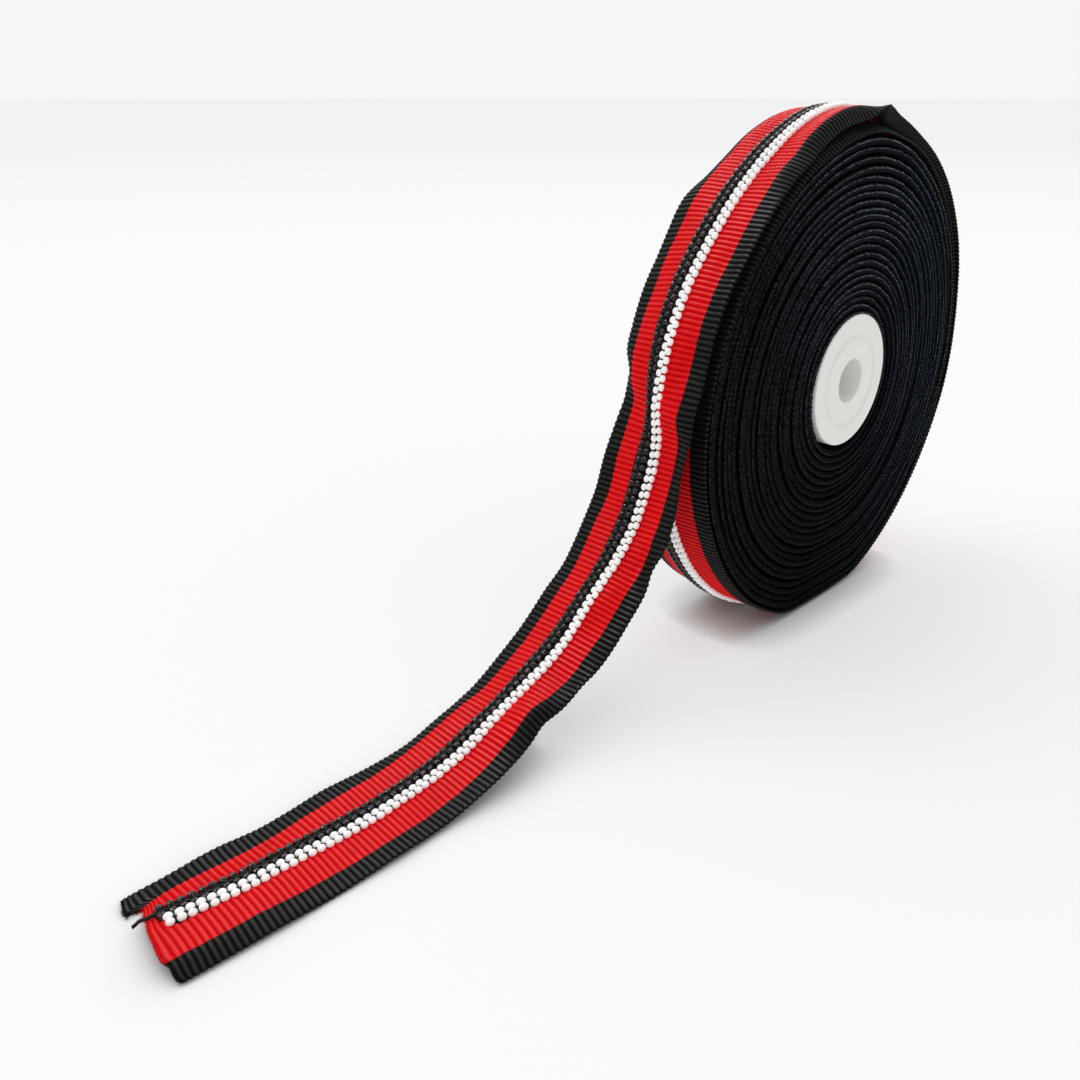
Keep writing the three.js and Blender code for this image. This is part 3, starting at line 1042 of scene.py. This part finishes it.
class WindTurns(Operator):
    """Wind the inner turns on the hub, each a strip with ribbed edges that hang unevenly."""

    bl_idname = "ribbon_roll.wind_turns"
    bl_label = "Wound Turns"

    def execute(self, context):
        cloth = context.scene.ribbon_roll_cloth
        material = cloth_material(
            "WoundCloth", cloth, cloth.wound_red_in_shade, cloth.wound_black_in_shade, 0.8, painted_shoulder_highlight=3.2
        )
        start = float(WINDING.length[0])
        half_way = start * WINDING_SPLIT
        columns = [column_at(place) for place in WINDING_PLACES]
        shared = (WOUND_STEPS, columns, cloth, material, cloth.soft_edge / MM)
        inner = woven_strip("WoundTurnsInner", WINDING, start, half_way, *shared)
        outer = woven_strip("WoundTurnsOuter", WINDING, half_way, 0.0, *shared)
        finish_strip(inner, "black_cloth", "wound_ribbon")
        finish_strip(outer, "black_cloth", "wound_ribbon")
        pack_beads(start)
        return {"FINISHED"}


class LayRibbon(Operator):
    """Lay the outer turn round the roll, and the loose cloth over it and down to the cut."""

    bl_idname = "ribbon_roll.lay_ribbon"
    bl_label = "Outer Turn and Loose Ribbon"

    def execute(self, context):
        cloth = context.scene.ribbon_roll_cloth
        material = cloth_material("RibbonCloth", cloth, cloth.red, cloth.black, 0.34)
        outer_shared = (LAID_STEPS, round_section(OUTER_COLUMNS), cloth, material)
        loose_shared = (LAID_STEPS, round_section(LOOSE_COLUMNS), cloth, material)
        outer = woven_strip("OuterTurn", OUTER, 0.0, LOOSE_AT, *outer_shared)
        loose = woven_strip("LooseRibbon", OUTER, LOOSE_AT, CUT_AT, *loose_shared)
        finish_strip(outer, "black_cloth", "wound_ribbon")
        finish_strip(loose, "red_cloth", "loose_ribbon")
        return {"FINISHED"}


def model_bead():
    """A round bead of diameter 1 with a thread hole sunk in at each end, along its own Z."""
    bpy.ops.object.select_all(action="DESELECT")
    bpy.ops.mesh.primitive_uv_sphere_add(segments=BEAD_SIDES, ring_count=BEAD_RINGS, radius=0.5)
    bead = bpy.context.object
    clear_points()
    for vertex in bead.data.vertices:
        vertex.select = abs(vertex.co.z) > 0.499
    switch_to("EDIT")
    bpy.ops.transform.resize(value=(1, 1, HOLE_SINK))
    switch_to("OBJECT")
    points = np.array([v.co for v in bead.data.vertices])
    faces = [tuple(p.vertices) for p in bead.data.polygons]
    mesh = bead.data
    bpy.data.objects.remove(bead)
    bpy.data.meshes.remove(mesh)
    return points, faces


def sew(name, start, bead, size, material, middle, height, gap, phase, wide, seed):
    """Two rows of copies of a bead, one mesh, counted back from the gap before the cut."""
    random = np.random.default_rng(seed)
    points, faces = bead
    spacing = bead_settings().spacing / MM
    end = CUT_AT - gap
    column = column_at(middle)
    count = int((end - start) / spacing)
    all_points, all_faces, shades = [], [], []
    for side in (-1, 1):
        at = end - size / 2 - spacing * (np.arange(count) + phase)
        lag = smooth(*STAGGER, at - LOOSE_AT)
        reach = wide * smooth(*PAIR_REACH, at - LOOSE_AT)
        apart = np.sqrt(reach**2 - (lag * spacing) ** 2)
        at = at - side * lag * spacing / 2 + random.uniform(-STRAY_ALONG, STRAY_ALONG, count)
        section = Section(OUTER, np.clip(at, 0, CUT_AT - 1))
        level = height + random.uniform(-STRAY_UP, STRAY_UP, count)
        level -= side * NEAR_ROW_DROP / 2 * ease(at - LOOSE_AT, *DROP_STRETCH)
        sway = middle - PLACES[column] + side * apart / 2
        sway += random.uniform(-STRAY_ACROSS, STRAY_ACROSS, count)
        sway += smooth(*SWERVE, at - LOOSE_AT)
        centre = section.points(column, level, 0.0, sway)
        turn = random.uniform(0, 2 * math.pi, count)
        grow = size * random.uniform(*BEAD_SIZES, count)
        sideways = np.array((1.0, 0.0, 0.0))
        first = np.cos(turn)[:, None] * sideways + np.sin(turn)[:, None] * section.out
        second = np.cross(section.along, first)
        local = points[None] * grow[:, None, None]
        placed = (
            centre[:, None]
            + local[..., :1] * first[:, None]
            + local[..., 1:2] * second[:, None]
            + local[..., 2:] * section.along[:, None] * BEAD_STRETCH
        )
        offset = sum(len(p) for p in all_points)
        all_points.append(placed.reshape(-1, 3))
        shades.append(np.repeat(random.uniform(0, 1, count), len(points)))
        for i in range(count):
            base = offset + i * len(points)
            all_faces += [tuple(base + v for v in face) for face in faces]
    return mesh_object(
        name, np.concatenate(all_points), all_faces, material, {"shade": np.concatenate(shades)}
    )


def lay_threads(start):
    """Black sewing cords that run between the rows, low among the beads."""
    spacing = bead_settings().spacing / MM
    material = thread_material("SewingThread", bead_settings().black)
    all_points, all_faces = [], []
    for place, height, radius, gap in CORDS:
        at = np.arange(start, CUT_AT - gap, spacing / 3)
        section = Section(OUTER, np.clip(at, 0, CUT_AT - CORD_LEAVES_AT))
        column = column_at(place)
        ahead = np.maximum(0, at - (CUT_AT - CORD_LEAVES_AT))
        wave = CORD_WAVE * np.sin(2 * math.pi * at / spacing)
        ring = []
        for corner in range(CORD_SIDES):
            turn = corner * 2 * math.pi / CORD_SIDES
            lift = height + radius * math.sin(turn) + wave - CORD_DROOP * ahead
            sway = place - PLACES[column] - radius * math.cos(turn)
            sway += smooth(*SWERVE, at - LOOSE_AT)
            ring.append(section.points(column, lift, ahead, sway))
        offset = sum(len(p) for p in all_points)
        all_points.append(np.stack(ring, axis=1).reshape(-1, 3))
        all_faces += closed_tube(len(at), CORD_SIDES, offset)
    threads = mesh_object("SewingThreads", np.concatenate(all_points), all_faces, material)
    finish_piece(threads, "black_beads")


class SewBeads(Operator):
    """Model one bead and sew copies of it along the cloth in two double rows."""

    bl_idname = "ribbon_roll.sew_beads"
    bl_label = "Bead Rows"

    def execute(self, context):
        beads = context.scene.ribbon_roll_beads
        bead = model_bead()
        white = bead_material("WhiteBead", beads.white, 0.22, 0.2)
        black = bead_material(
            "BlackBead", beads.black, 0.12, 0.0, gloss=0.25, grain=3200.0, bumps=0.09,
            specks=beads.glint_speck,
        )
        start = LOOSE_AT * SINGLE_BEADS_FROM
        size = beads.white_diameter / MM
        white_row = sew("WhiteBeads", start, bead, size, white, **WHITE_PAIR)
        size = beads.black_diameter / MM
        black_row = sew("BlackBeads", start, bead, size, black, **BLACK_PAIR)
        finish_piece(white_row, "white_beads", "white_bead_rows")
        finish_piece(black_row, "black_beads", "black_bead_rows")
        lay_threads(start)
        return {"FINISHED"}


class FrayEnd(Operator):
    """Pull short fibres out of the ribbon's cut end."""

    bl_idname = "ribbon_roll.fray_end"
    bl_label = "Frayed End"

    def execute(self, context):
        material = bpy.data.materials["RibbonCloth"]
        random = np.random.default_rng(FRAY_SEED)
        all_points, all_faces, weave = [], [], []
        section = Section(OUTER, np.array([CUT_AT]))
        for place in np.sort(random.uniform(-FIBRES_OUT_TO, FIBRES_OUT_TO, FIBRES)):
            column = column_at(place)
            back = float(np.interp(place, CUT_PLACES, CUT_BACK))
            height = random.uniform(*FIBRE_HEIGHTS)
            root = section.points(column, height, -back - 0.5, place - PLACES[column])[0]
            length = random.uniform(*FIBRE_LENGTHS)
            aim = section.along[0] + random.normal(0, FIBRE_AIMS)
            aim /= np.linalg.norm(aim)
            bend = random.normal(0, FIBRE_BENDS)
            radius = random.uniform(*FIBRE_RADII)
            base = len(all_points)
            for share in np.linspace(0, 1, FIBRE_RINGS):
                centre = root + aim * length * share + bend * share * share * 0.5 * length
                centre[2] = max(centre[2], 0.1)
                thin = radius * (1 - FIBRE_TAPER * share)
                for corner in range(FIBRE_SIDES):
                    turn = corner * 2 * math.pi / FIBRE_SIDES
                    side = np.array((math.cos(turn), 0.0, math.sin(turn)))
                    all_points.append(centre + side * thin)
                    weave.append((place, CUT_AT, 1.0))
            all_faces += [face[::-1] for face in closed_tube(FIBRE_RINGS, FIBRE_SIDES, base)]
        fibres = mesh_object("FrayedFibres", all_points, all_faces, material, {"weave": weave})
        finish_piece(fibres, "red_cloth")
        return {"FINISHED"}


def shade_surround(tree, strength):
    """Even light that is bright overhead and behind the floor's edge, and dimmer between."""
    nodes = Nodes(tree)
    way = nodes.node("TexCoord")
    ramp = nodes.node("ValToRGB", None, {0: nodes.part(way, 2)})
    stops = ramp.socket.node.color_ramp.elements
    for place, _ in SKY[1:-1]:
        stops.new(place)
    for stop, (place, level) in zip(stops, SKY, strict=True):
        stop.position = place
        stop.color = (level, level, level, 1.0)
    inputs = {0: way, 1: (-SKY_LEAN * strength, SKY_LEAN * strength, 0)}
    lean = nodes.node("VectorMath", {"operation": "DOT_PRODUCT"}, inputs, output=1)
    sky = tree.nodes["Background"].inputs
    tree.links.new(ramp.socket, sky["Color"])
    tree.links.new((lean + strength).socket, sky["Strength"])


def add_sun(name, strength, spread, tilt, turn):
    light = bpy.data.lights.new(name, "SUN")
    light.energy = strength
    light.angle = math.radians(spread)
    holder = bpy.data.objects.new(name, light)
    holder.rotation_euler = (0, math.radians(tilt), math.radians(turn))
    bpy.context.scene.collection.objects.link(holder)
    return holder


class SetStage(Operator):
    """Set the floor, the soft lights and the camera."""

    bl_idname = "ribbon_roll.set_stage"
    bl_label = "Stage"

    def execute(self, context):
        stage = context.scene.ribbon_roll_stage
        scene = context.scene
        bpy.ops.object.select_all(action="DESELECT")
        bpy.ops.mesh.primitive_plane_add(size=FLOOR_SIZE, location=(0, 0, 0))
        floor = context.object
        floor.name = "Floor"
        floor.data.materials.append(floor_material(stage.floor, stage.glow))

        world = bpy.data.worlds.new("Surround")
        world.use_nodes = True
        shade_surround(world.node_tree, stage.surround)
        scene.world = world

        for name, setting, spread, tilt, turn, gloss_only in SUNS:
            sun = add_sun(name, getattr(stage, setting), spread, tilt, turn)
            sun.visible_diffuse = not gloss_only
        scene.view_settings.view_transform = "Standard"

        camera = bpy.data.cameras.new("Camera")
        camera.lens, camera.sensor_width = stage.lens, 36.0
        camera.clip_start, camera.clip_end = 0.01, 100.0
        holder = bpy.data.objects.new("Camera", camera)
        holder.location = CAMERA_PLACE
        holder.rotation_euler = (math.pi / 2 - CAMERA_TILT, 0.0, CAMERA_TURN)
        scene.collection.objects.link(holder)
        scene.camera = holder
        return {"FINISHED"}


class RibbonRollPanel(Panel):
    bl_idname = "VIEW3D_PT_ribbon_roll"
    bl_label = "Ribbon Roll"
    bl_space_type = "VIEW_3D"
    bl_region_type = "UI"
    bl_category = "Ribbon Roll"

    def draw(self, context):
        for operator in OPERATORS:
            self.layout.operator(operator.bl_idname, text=operator.bl_label)
        for group in SETTINGS:
            box = self.layout.box()
            settings = getattr(context.scene, group)
            for name in SETTINGS[group].__annotations__:
                box.prop(settings, name)


SETTINGS = {
    "ribbon_roll_cloth": ClothSettings,
    "ribbon_roll_beads": BeadSettings,
    "ribbon_roll_hub": HubSettings,
    "ribbon_roll_stage": StageSettings,
}
OPERATORS = (SetStage, MakeHub, WindTurns, LayRibbon, SewBeads, FrayEnd)


def register():
    for group, kind in SETTINGS.items():
        bpy.utils.register_class(kind)
        setattr(bpy.types.Scene, group, PointerProperty(type=kind))
    for kind in (*OPERATORS, RibbonRollPanel):
        bpy.utils.register_class(kind)


def unregister():
    for kind in reversed((*OPERATORS, RibbonRollPanel)):
        bpy.utils.unregister_class(kind)
    for group, kind in SETTINGS.items():
        delattr(bpy.types.Scene, group)
        bpy.utils.unregister_class(kind)


def main():
    register()
    bpy.ops.ribbon_roll.set_stage()
    bpy.ops.ribbon_roll.make_hub()
    bpy.ops.ribbon_roll.wind_turns()
    bpy.ops.ribbon_roll.lay_ribbon()
    bpy.ops.ribbon_roll.sew_beads()
    bpy.ops.ribbon_roll.fray_end()


if __name__ == "__main__":
    main()
